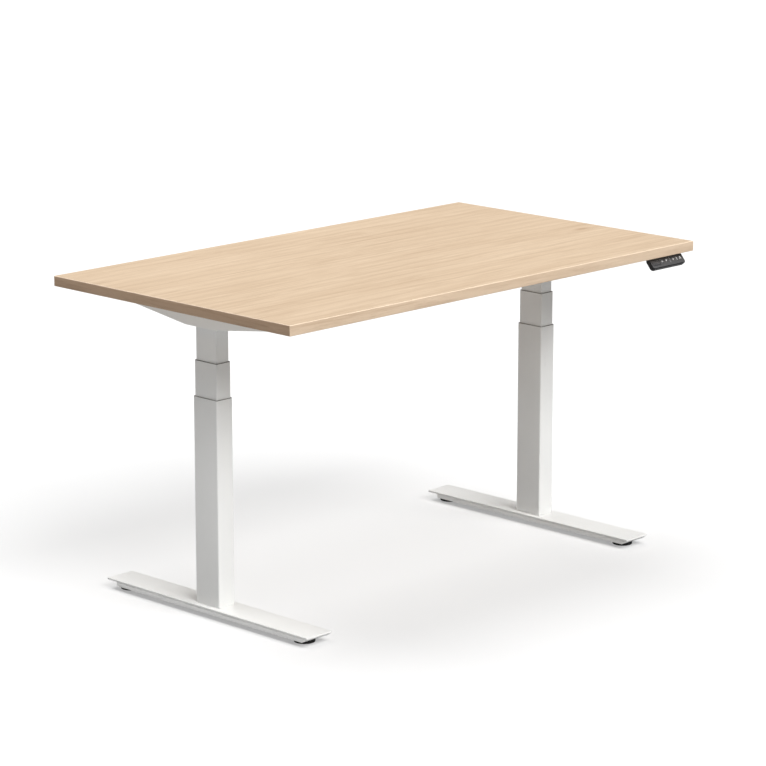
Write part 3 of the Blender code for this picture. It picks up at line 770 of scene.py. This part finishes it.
def foot(side):
    """Plate, bent channel with holes and weld nuts for the studs, and its end plates."""
    low, high, centre, size = plan(f"{side}_foot_plate")
    plate = rounded_slab(size, 0.002, low.z, high.z, PLATE_ROUNDING)
    plate = moved(plate, (centre.x, centre.y, 0.0))
    piece(f"{side}_foot_plate_coated", plate, "white_coat", "lower_legs", [f"{side}_foot_plate"])

    wall = 0.0025
    slant = 0.015
    stud_hole = 0.0053
    nut_flat, nut_bore = 0.0085, 0.0054
    cap_gap, cap_start, cap_end = 0.0004, 0.0004, 0.0022
    c_low, c_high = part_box(f"{side}_foot_channel")
    half = (c_high.x - c_low.x) / 2
    top = c_high.z + 0.0002

    def front_y(z):
        return c_low.y + slant * (c_high.z - z) / (c_high.z - c_low.z)

    def rear_y(z):
        return c_high.y

    channel = bmesh.new()
    front = channel_ring(channel, half, c_low.z, top, wall, front_y)
    rear = channel_ring(channel, half, c_low.z, top, wall, rear_y)
    bridge(channel, front, rear)
    channel.faces.new(front)
    channel.faces.new(rear)
    nuts = []
    holes = []
    for end, _ in ENDS:
        pad = middle_of(f"{side}_{end}_pad")
        place = (pad.x - centre.x, pad.y, 0.0)
        nut = hex_nut(nut_flat, nut_bore, c_low.z + 0.0008, top - wall + 0.0002)
        nuts.append(moved(nut, place))
        holes.append(moved(drill(stud_hole, c_low.z, c_high.z + wall), place))
    channel = carved(channel, holes)
    bmesh.ops.triangulate(channel, faces=[f for f in channel.faces if len(f.verts) > 4])
    body = moved(merged([channel, *nuts]), (centre.x, 0.0, 0.0))
    piece(f"{side}_foot_channel_bent", body, "white_coat", "lower_legs", [f"{side}_foot_channel"])

    inner = half - wall - 0.0003
    for end, y_at, inward in (("front", front_y, 1), ("rear", rear_y, -1)):
        cap = bmesh.new()
        rings = []
        for depth in (cap_start * inward, cap_end * inward):
            corners = ((-inner, c_low.z + cap_gap), (inner, c_low.z + cap_gap))
            corners += ((inner, top - wall - 0.0001), (-inner, top - wall - 0.0001))
            rings.append([cap.verts.new((x, y_at(z) + depth, z)) for x, z in corners])
        bridge(cap, rings[0], rings[1])
        cap.faces.new(rings[0])
        cap.faces.new(rings[1])
        cap = moved(bevelled(cap, 0.0003, 2), (centre.x, 0.0, 0.0))
        piece(f"{side}_{end}_foot_end_plate", cap, "white_coat", "lower_legs")


def levelling_pad(side, end):
    """Ribbed rubber foot on a steel flange, with its threaded stud."""
    rib_count = 30
    rib_depth = 0.012
    rubber_top = 0.0099
    stud_pitch = 0.00125
    node = f"{side}_{end}_pad"
    _, high, centre, size = plan(node)
    axis = (centre.x, centre.y, 0.0)
    radius = size[0] / 2

    def ribbed(angle):
        return 1.0 - rib_depth * (0.5 + 0.5 * math.cos(rib_count * angle))

    profile = [(0.0, 0.0006), (radius - 0.0060, 0.0006), (radius - 0.0050, 0.0)]
    profile += [(radius - 0.0020, 0.0), (radius - 0.0005, 0.0006), (radius, 0.0016, ribbed)]
    profile += [(radius, 0.0060, ribbed), (radius - 0.0006, 0.0070), (radius - 0.0040, 0.0092)]
    profile += [(0.0100, rubber_top), (0.0, rubber_top)]
    piece(f"{node}_rubber", moved(spun(profile, 120), axis), "pad_rubber", node, [node])
    flange = hex_nut(0.0068, 0.0030, rubber_top, 0.0108)
    stud = threaded_rod(0.0050, 0.0043, stud_pitch, 0.0100, high.z, 24)
    piece(f"{node}_stud", moved(merged([flange, stud]), axis), "steel", node)


# Under the worktop


def bracket(side):
    """Bent sheet channel, open downwards, deepest over the column, with its screws."""
    node = f"{side}_side_bracket"
    _, high, centre, size = plan(node)
    half = size[0] / 2
    wall = 0.003
    fold = 0.0008
    screw_rows = (-0.31, -0.18, 0.18, 0.31)
    shape = bmesh.new()
    rings = []
    for y, bottom in lower_edge(node):
        outer = [(-half + SHEET_EDGE, bottom), (-half, bottom + SHEET_EDGE)]
        for a in quarter_turns():
            outer.append((-half + wall - wall * math.cos(a), high.z - wall + wall * math.sin(a)))
        inner = [(-half + wall + fold, high.z - wall), (-half + wall, high.z - wall - fold)]
        inner += [(-half + wall, bottom + SHEET_EDGE), (-half + wall - SHEET_EDGE, bottom)]
        right = [(-x, z) for x, z in reversed(outer)]
        right += [(-x, z) for x, z in reversed(inner)]
        section = outer + right + inner
        rings.append([shape.verts.new((centre.x + x, y, z)) for x, z in section])
    for first, second in zip(rings, rings[1:]):
        bridge(shape, first, second)
    ends = [shape.faces.new(rings[0]), shape.faces.new(rings[-1])]
    bmesh.ops.triangulate(shape, faces=ends)
    piece(f"{node}_bent", shape, "white_coat", "desk_top", [node])
    for number, y in enumerate(screw_rows):
        screw = washer_screw(0.0048, 0.0030)
        spot = (centre.x, y, high.z - wall)
        fastened(f"{side}_worktop_screw_{number + 1}", screw, DOWN, spot)


def lower_edge(node):
    """The (y, z) points of a CAD bracket's lower edge, from the front to the rear."""
    low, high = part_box(node)
    lowest = {}
    for vertex in frame["nodes"][node].data.vertices:
        x, y, z = vertex.co
        if abs(x - low.x) < 0.0001:
            y = round(y, 5)
            lowest[y] = min(z, lowest.get(y, z))
    return sorted(lowest.items())


def lift_head(side):
    """Die cast gearbox in two halves around a seam, bored for the shaft, and its motor can."""
    half_gap = 0.0004
    rounding = 0.0012
    shaft_play = 0.0003
    node = f"{side}_gearbox"
    low, high, centre, size = plan(node)
    middle = low.z + (high.z - low.z) * 0.42
    shaft_low, shaft_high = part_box(f"{side}_drive_shaft")
    bore_radius = (shaft_high.x - shaft_low.x) / 2 + shaft_play
    bore = drill(bore_radius, low.z - 0.001, shaft_high.z + 0.001)
    lower = carved(rounded_slab(size, 0.006, low.z, middle - half_gap, rounding), [bore])
    upper_size = (size[0] - 0.0012, size[1] - 0.0012)
    upper = rounded_slab(upper_size, 0.0054, middle, high.z, rounding)
    seam_layers = [(0.0, middle - 0.0012), (0.0, middle + 0.0008)]
    seam = stacked((size[0] - 0.002, size[1] - 0.002), 0.005, seam_layers)
    body = moved(merged([lower, upper, seam]), (centre.x, centre.y, 0.0))
    piece(f"{node}_casing", body, "aluminium", "desk_top", [node])
    corner_screws(f"{side}_gearbox_screw", node, 0.0065, (0.0036, 0.0022, 0.0013))

    node = f"{side}_motor"
    low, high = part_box(node)
    centre = middle_of(node)
    radius = (high.z - low.z) / 2
    length = high.y - low.y
    can_end = length - 0.0150
    profile = [(0.0, 0.0), (radius - 0.004, 0.0), (radius - 0.004, 0.0035)]
    profile += [(radius - 0.0006, 0.0042), (radius, 0.0052), (radius, can_end - 0.0006)]
    profile += [(radius - 0.0005, can_end), (radius - 0.0025, can_end + 0.0002)]
    profile += [(radius - 0.0025, can_end + 0.0012), (radius - 0.0012, can_end + 0.0016)]
    profile += [(radius - 0.0012, length - 0.0026), (radius - 0.0030, length - 0.0006)]
    profile += [(radius - 0.0050, length), (0.0, length)]
    can = moved(spun(profile, 64), facing((0, 1, 0), (centre.x, low.y, centre.z)))
    piece(f"{node}_can", can, "steel", "desk_top", [node])


def crossbeams():
    """Two-part telescopic beams with bolted flanges and clamping screws."""
    flange = 0.003
    flange_rounding = 0.0005
    tube_wall = 0.002
    bolt_reach = 0.0165
    clamping_reach = 0.060
    to_x = Matrix.Rotation(RIGHT_ANGLE, 4, "Y")
    for name, _ in ENDS:
        for side, sign in SIDES:
            node = f"{name}_crossbeam_{side}"
            low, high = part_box(node)
            mesh = frame["nodes"][node].data
            inner_end = high.x if sign < 0 else low.x
            near_end = [v.co for v in mesh.vertices if abs(v.co.x - inner_end) < 0.0005]
            depth = max(c.y for c in near_end) - min(c.y for c in near_end)
            height = max(c.z for c in near_end) - min(c.z for c in near_end)
            centre = middle_of(node)
            outer_end = low.x if sign < 0 else high.x
            flange_face = outer_end - sign * flange
            layers = tube_layers(*sorted((flange_face, inner_end)), tube_wall, LIP_ROUNDING)
            tube = stacked((height, depth), 0.003, layers, True)
            faces = sorted((outer_end, flange_face))
            plate_size = (high.z - low.z, high.y - low.y)
            plate = rounded_slab(plate_size, 0.003, *faces, flange_rounding)
            place = Matrix.Translation((0.0, centre.y, centre.z)) @ to_x
            beam = moved(merged([tube, plate]), place)
            piece(f"{node}_coated", beam, "white_coat", "desk_top", [node])
            for number, across in enumerate((-1, 1)):
                spot = (flange_face, centre.y + across * bolt_reach, centre.z)
                bolt = button_head(0.0044, 0.0030, 0.0018)
                fastened(f"{node}_bolt_{number + 1}", bolt, (-sign, 0, 0), spot)
        low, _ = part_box(f"{name}_crossbeam_left")
        centre = middle_of(f"{name}_crossbeam_left")
        for number, sign in enumerate((-1, 1)):
            spot = (sign * clamping_reach, centre.y, low.z)
            screw = button_head(0.0042, 0.0026, 0.0016)
            fastened(f"{name}_clamping_screw_{number + 1}", screw, DOWN, spot)


def control_box():
    """Cover with vents, ribs and screws, hung below its tray."""
    wall = 0.002
    rounding = 0.0022
    opening_play = 0.0002
    vents_a_side = 9
    vent_start = 0.046
    vent_pitch = 0.0075
    half_vent = 0.0015
    vent_margin = 0.010
    rib_count = 12
    rib_pitch = 0.015
    low, high, centre, size = plan("control_box_cover")
    place = (centre.x, centre.y, 0.0)
    layers = quarter((rounding, low.z), (0.0, low.z + rounding), 4) + [(0.0, high.z)]
    outer = moved(stacked(size, 0.005, layers), place)
    inner_size = (size[0] - 2 * wall, size[1] - 2 * wall)
    cavity = stacked(inner_size, 0.003, [(0.0, low.z + wall), (0.0, high.z + 0.01)])
    cutters = [moved(cavity, place)]
    for node in ("control_box_sockets", "mains_inlet"):
        node_low, node_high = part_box(node)
        near = (node_low.x - opening_play, high.y - 0.01, node_low.z - opening_play)
        far = (node_high.x + opening_play, high.y + 0.01, node_high.z + opening_play)
        cutters.append(brick(near, far))
    for sign in (-1, 1):
        for number in range(vents_a_side):
            x = centre.x + sign * (vent_start + vent_pitch * number)
            near = (x - half_vent, low.y - 0.005, low.z + vent_margin)
            far = (x + half_vent, low.y + 0.005, high.z - vent_margin)
            cutters.append(brick(near, far))
    cover = carved(outer, cutters)
    piece("control_box_cover_shell", cover, "black_plastic", "desk_top", ["control_box_cover"])
    ribs = []
    rib_size = (0.004, size[1] - 0.030)
    for number in range(rib_count):
        x = centre.x - 0.0825 + rib_pitch * number
        rib = rounded_slab(rib_size, 0.0019, low.z - 0.0008, low.z + 0.0002, 0.0004)
        ribs.append(moved(rib, (x, centre.y, 0.0)))
    piece("control_box_ribs", merged(ribs), "black_plastic", "desk_top")
    corner_screws("control_box_screw", "control_box_cover", 0.012, (0.0034, 0.0018, 0.0012))
    tray_low, tray_high, _, tray_size = plan("control_box_tray")
    tray = moved(rounded_slab(tray_size, 0.004, tray_low.z, tray_high.z, 0.0005), place)
    piece("control_box_tray_plate", tray, "black_plastic", "desk_top", ["control_box_tray"])
    for number, sign in enumerate((-1, 1)):
        spot = (centre.x + sign * (tray_size[0] / 2 - 0.0065), centre.y, tray_low.z)
        screw = washer_screw(0.0036, 0.0026)
        fastened(f"control_box_tray_screw_{number + 1}", screw, DOWN, spot)


# Handset


def handset_frame():
    """Local X along the handset, Y up its face and Z out of it, at the face's centre."""
    press = next(j for j in frame["joints"] if j["name"] == "button_up_press")
    out = -Vector(press["axis"]).normalized()
    along = Vector((1.0, 0.0, 0.0))
    up = out.cross(along)
    low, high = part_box("handset_face")
    face_middle = 0.00115
    origin = (low + high) / 2 + out * face_middle
    turn = Matrix((along, up, out)).transposed().to_4x4()
    return Matrix.Translation(origin) @ turn


def handset():
    place = handset_frame()
    back = place.inverted()
    housing_low, housing_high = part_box("handset_housing")
    length = housing_high.x - housing_low.x
    height = 0.033
    depth = 0.0127
    rim = 0.0022
    gap = 0.0003
    play = 0.0005

    def at(x):
        return place @ Matrix.Translation((x, 0.0, 0.0))

    def opening(width, tall, radius, x):
        return moved(stacked((width, tall), radius, [(0.0, -0.01), (0.0, 0.01)]), (x, 0.0, 0.0))

    layers = quarter((0.0030, -depth), (0.0, -depth + 0.0030), 5)
    layers += quarter((0.0, -0.0009), (0.0009, 0.0), 4)
    layers += [(rim - 0.0003, 0.0), (rim, -0.0003), (rim, rim - depth)]
    shell = moved(stacked((length, height), 0.008, layers, steps=12), place)
    piece("handset_housing_shell", shell, "black_plastic", "desk_top", ["handset_housing"])

    keys = {}
    for node in sorted(n for n in frame["nodes"] if n.startswith("button_")):
        keys[node] = back @ middle_of(node)
    key_size = (0.0105, 0.0130)
    window_low, window_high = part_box("handset_display")
    window = back @ ((window_low + window_high) / 2)
    window_size = (window_high.x - window_low.x, 0.018)

    face_size = (length - 2 * rim - gap, height - 2 * rim - gap)
    face = rounded_slab(face_size, 0.0057, -0.0020, -0.0003, 0.0004, 12)
    cutters = [opening(key_size[0] + play, key_size[1] + play, 0.0018, p.x) for p in keys.values()]
    cutters.append(opening(window_size[0] + gap, window_size[1] + gap, 0.0017, window.x))
    plate = moved(carved(face, cutters), place)
    piece("handset_face_plate", plate, "grey_plastic", "desk_top", ["handset_face"])

    glass = moved(rounded_slab(window_size, 0.0015, -0.0024, -0.00035, 0.0002), at(window.x))
    piece("handset_display_window", glass, "display_window", "desk_top", ["handset_display"])
    digits(at(window.x))

    divider_x = (keys["button_down"].x + keys["button_memory_1"].x) / 2
    divider = rounded_slab((0.0006, 0.0150), 0.00028, -0.00035, -0.00020, 0.00005)
    piece("handset_divider", moved(divider, at(divider_x)), "print", "desk_top")

    marks = {
        "button_up": arrow(1),
        "button_down": arrow(-1),
        "button_memory_1": pips(1),
        "button_memory_2": pips(2),
        "button_memory_3": pips(3),
    }
    for node, centre in keys.items():
        layers = [(0.0, -0.0026), (0.0, -0.0006)]
        layers += quarter((0.0, -0.0006), (0.0005, -0.0001), 3)[1:]
        layers += [(0.0012, -0.00012), (0.0030, -0.00030)]
        cap = stacked(key_size, 0.0015, layers, steps=6)
        profile = [(0.0, -0.0053), (0.0018, -0.0053), (0.0020, -0.0050)]
        stem = spun([*profile, (0.0020, -0.0025), (0.0, -0.0025)], 24)
        key = moved(merged([cap, stem]), at(centre.x))
        piece(f"{node}_cap", key, "grey_plastic", node, [node])
        piece(f"{node}_mark", moved(marks[node], at(centre.x)), "print", node)


def flat_shape(outlines, low=-0.00031, high=-0.00022):
    """Thin prints from a list of outlines."""
    shape = bmesh.new()
    for outline in outlines:
        bottom = [shape.verts.new((x, y, low)) for x, y in outline]
        top = [shape.verts.new((x, y, high)) for x, y in outline]
        bridge(shape, bottom, top)
        shape.faces.new(bottom)
        shape.faces.new(top)
    return shape


def arrow(sign):
    """A solid triangle that points up or down the handset."""
    half = 0.0028
    return flat_shape([[(-half, -sign * 0.0021), (half, -sign * 0.0021), (0.0, sign * 0.0026)]])


def pips(count):
    """One to three round dots around the middle of a key."""
    radius = (0.0021, 0.0017, 0.0016)[count - 1]
    reach = (0.0, 0.0022, 0.0025)[count - 1]
    steps = 20
    turns = [2 * math.pi * n / steps for n in range(steps)]
    outlines = []
    for number in range(count):
        angle = RIGHT_ANGLE + 2 * math.pi * number / count
        x, y = reach * math.cos(angle), reach * math.sin(angle)
        outlines.append([(x + radius * math.cos(t), y + radius * math.sin(t)) for t in turns])
    return flat_shape(outlines)


def digits(place):
    """Three unlit seven-segment digits behind the display window."""
    wide, tall, stroke, pitch = 0.0046, 0.0090, 0.0007, 0.0080
    bars = [(0.0, tall / 2, 1), (0.0, 0.0, 1), (0.0, -tall / 2, 1)]
    bars += [(sx * wide / 2, sy * tall / 4, 0) for sx in (-1, 1) for sy in (-1, 1)]
    outlines = []
    for digit in (-1, 0, 1):
        for x, y, level in bars:
            reach = (wide if level else tall / 2) / 2 - 0.0004
            half = (reach, stroke / 2) if level else (stroke / 2, reach)
            cx = digit * pitch + x
            corners = ((-1, -1), (1, -1), (1, 1), (-1, 1))
            outlines.append([(cx + sx * half[0], y + sy * half[1]) for sx, sy in corners])
    shape = moved(flat_shape(outlines, -0.00038, -0.00033), place)
    piece("handset_unlit_digits", shape, "dim_print", "desk_top")


def handset_mount():
    wedge = bevelled(blank_of("handset_mount"), 0.0008, 3)
    piece("handset_mount_rounded", wedge, "black_plastic", "desk_top", ["handset_mount"])


# Parts inside


def eased(node, look, body, width):
    """The CAD node's own solid with its sharp edges broken."""
    piece(f"{node}_eased", bevelled(blank_of(node), width, 2), look, body, [node])


def inner_parts(side):
    """Plates, nut, tube and shaft of the drive line in one column."""
    eased(f"{side}_base_plate", "steel", "lower_legs", 0.0006)
    eased(f"{side}_bearing_plate", "aluminium", f"{side}_middle_stage", 0.0005)
    eased(f"{side}_inner_nut", "white_plastic", "desk_top", 0.0008)
    eased(f"{side}_drive_tube", "steel", f"{side}_drive_tube", 0.0005)
    eased(f"{side}_drive_shaft", "steel", f"{side}_drive_shaft", 0.0004)


def contacts():
    """Blades in the mains inlet, and pins in the sockets of the motors and the handset."""
    eased("mains_inlet", "black_plastic", "desk_top", 0.0004)
    eased("control_box_sockets", "black_plastic", "desk_top", 0.0003)
    sockets = ("left_motor_socket", "right_motor_socket", "handset_socket")
    back_wall = 0.0036
    recess = 0.0035
    half_pin = 0.00035
    pin_pitch = (0.0026, 0.0036)

    def rod(node, x, z, half_x, half_z, rounding):
        low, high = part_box(node)
        near = (x - half_x, low.y + back_wall, z - half_z)
        return bevelled(brick(near, (x + half_x, high.y - recess, z + half_z)), rounding, 1)

    centre = middle_of("mains_inlet")
    blades = []
    for x, z in ((-0.0070, -0.0020), (0.0070, -0.0020), (0.0, 0.0025)):
        spot = (centre.x + x, centre.z + z)
        blades.append(rod("mains_inlet", *spot, 0.0010, 0.0020, 0.0003))
    piece("mains_inlet_blades", merged(blades), "steel", "desk_top")
    pins = []
    for opening in frame["record"]["physics"]["openings"]:
        if opening["name"] not in sockets:
            continue
        start, end = (Vector(corner) for corner in opening["box_m"])
        for across in (-1.5, -0.5, 0.5, 1.5):
            for up in (-0.5, 0.5):
                x = (start.x + end.x) / 2 + across * pin_pitch[0]
                z = (start.z + end.z) / 2 + up * pin_pitch[1]
                pins.append(rod("control_box_sockets", x, z, half_pin, half_pin, 0.0001))
    piece("control_box_socket_pins", merged(pins), "steel", "desk_top")


def board_parts():
    """Guessed parts of the control board: transformer, capacitors, relays, heat sink, chips."""
    eased("control_circuit_board", "circuit_board", "desk_top", 0.0002)
    eased("handset_circuit_board", "circuit_board", "desk_top", 0.0002)
    foot_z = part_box("control_circuit_board")[1].z - 0.0001
    middle = middle_of("control_circuit_board")

    def block(x, y, width, depth, height, rounding=0.0006):
        corner = (middle.x + x - width / 2, middle.y + y - depth / 2, foot_z)
        opposite = (middle.x + x + width / 2, middle.y + y + depth / 2, foot_z + height)
        return bevelled(brick(corner, opposite), rounding, 2)

    windings = block(0.062, -0.012, 0.024, 0.022, 0.0185, 0.0020)
    piece("control_board_transformer", windings, "black_plastic", "desk_top")
    core = block(0.062, -0.012, 0.036, 0.010, 0.0200)
    piece("control_board_transformer_core", core, "steel", "desk_top")
    cans = []
    for x in (0.012, 0.030):
        profile = [(0.0, 0.0), (0.0062, 0.0), (0.0062, 0.0168), (0.0056, 0.0176), (0.0, 0.0176)]
        cans.append(moved(spun(profile), (middle.x + x, middle.y - 0.022, foot_z)))
    piece("control_board_capacitors", merged(cans), "aluminium", "desk_top", (), 40.0)
    relays = [block(x, -0.020, 0.0190, 0.0155, 0.0150) for x in (-0.016, -0.040)]
    piece("control_board_relays", merged(relays), "grey_plastic", "desk_top")
    fins = [block(-0.080, -0.020, 0.036, 0.0030, 0.0180)]
    fins += [block(-0.0965 + 0.0055 * n, -0.0165, 0.0014, 0.0130, 0.0180, 0.0003) for n in range(7)]
    piece("control_board_heat_sink", merged(fins), "aluminium", "desk_top")
    chips = [block(-0.030, 0.018, 0.0120, 0.0120, 0.0016, 0.0003)]
    chips += [block(x, 0.020, 0.0080, 0.0050, 0.0018, 0.0003) for x in (-0.055, 0.0, 0.018)]
    piece("control_board_chips", merged(chips), "black_plastic", "desk_top")


# Stage, light and camera


def floor():
    """A wide pale floor that is clear from below, so that views from there see the desk.

    As in the photo, its shadows are lifted, and it sends back less light than it seems to.
    """
    shape = bmesh.new()
    bmesh.ops.create_circle(shape, cap_ends=True, radius=FLOOR_RADIUS, segments=96)
    mesh = bpy.data.meshes.new("studio_floor")
    shape.to_mesh(mesh)
    shape.free()
    made = placed("studio_floor", mesh)
    made.location.z = -FLOOR_DROP
    g = Graph("studio_floor_paper")
    cloud = g.noise(1.5, 3.0)
    seen = g.node("LightPath", {}).outputs["Is Camera Ray"]
    paper = g.mix(g.between(cloud, 0.3, 0.7), (0.54, 0.54, 0.54), (0.53, 0.53, 0.53))
    colour = g.mix(seen, (0.48, 0.48, 0.48), paper)
    g.finish(colour, g.between(cloud, 0.3, 0.7, 0.75, 0.85), Specular_IOR_Level=0.1)
    g.shader.inputs["Emission Color"].default_value = (1.0, 1.0, 1.0, 1.0)
    g.feed(g.shader.inputs["Emission Strength"], g.math("MULTIPLY", seen, FLOOR_GLOW))
    clear = g.node("BsdfTransparent", {}).outputs["BSDF"]
    below = g.node("NewGeometry", {}).outputs["Backfacing"]
    blend = g.node("MixShader", {0: below, 1: g.shader.outputs["BSDF"], 2: clear})
    g.feed(g.tree.nodes["Material Output"].inputs["Surface"], blend.outputs["Shader"])
    mesh.materials.append(g.material)


def aimed(name, data, towards):
    """A light or a camera that looks in a direction."""
    made = placed(name, data)
    made.rotation_mode = "QUATERNION"
    made.rotation_quaternion = Vector(towards).to_track_quat("-Z", "Y")
    return made


def sun(name, towards, strength, spread):
    """A soft, even light from far away; its spread in degrees softens the shadows."""
    data = bpy.data.lights.new(name, "SUN")
    data.energy = strength
    data.angle = math.radians(spread)
    aimed(name, data, towards)


def surroundings():
    """White walls all round, brightest in front of the desk, plain white to look at."""
    world = bpy.data.worlds.new("studio")
    bpy.context.scene.world = world
    world.use_nodes = True
    nodes, links = world.node_tree.nodes, world.node_tree.links
    background = nodes["Background"]
    background.inputs["Color"].default_value = (1.0, 1.0, 1.0, 1.0)
    place = nodes.new("ShaderNodeTexCoord").outputs["Generated"]
    toward = nodes.new("ShaderNodeVectorMath")
    toward.operation = "DOT_PRODUCT"
    toward.inputs[1].default_value = Vector(BRIGHTEST_WALL).normalized()
    links.new(place, toward.inputs[0])
    span = nodes.new("ShaderNodeMapRange")
    span.inputs["To Max"].default_value = WALL_LIGHT
    links.new(toward.outputs["Value"], span.inputs["Value"])
    seen = nodes.new("ShaderNodeLightPath").outputs["Is Camera Ray"]
    pick = nodes.new("ShaderNodeMix")
    links.new(seen, pick.inputs[0])
    links.new(span.outputs["Result"], pick.inputs[2])
    pick.inputs[3].default_value = 1.0
    links.new(pick.outputs[0], background.inputs["Strength"])


def camera():
    data = bpy.data.cameras.new("camera")
    data.lens = CAMERA_LENS
    data.sensor_width = CAMERA_SENSOR
    data.clip_end = CAMERA_REACH
    level = math.cos(CAMERA_PITCH)
    across, along = math.sin(CAMERA_YAW) * level, math.cos(CAMERA_YAW) * level
    made = aimed("camera", data, (across, along, -math.sin(CAMERA_PITCH)))
    made.location = CAMERA_PLACE
    bpy.context.scene.camera = made


def build():
    dress_cad_nodes()
    worktop()
    for side, _ in SIDES:
        column(side)
        drive_line(side)
        foot(side)
        for end, _ in ENDS:
            levelling_pad(side, end)
        bracket(side)
        lift_head(side)
        inner_parts(side)
    crossbeams()
    control_box()
    contacts()
    board_parts()
    handset()
    handset_mount()
    floor()
    surroundings()
    sun("overhead", (0.0, -0.42, -1.0), 2.25, 46.0)
    sun("front", (0.04, 1.0, -1.02), 3.5, 48.0)
    sun("side", (1.0, -0.10, -0.22), 0.38, 60.0)
    camera()
    bpy.context.scene.view_settings.view_transform = "Standard"


build()
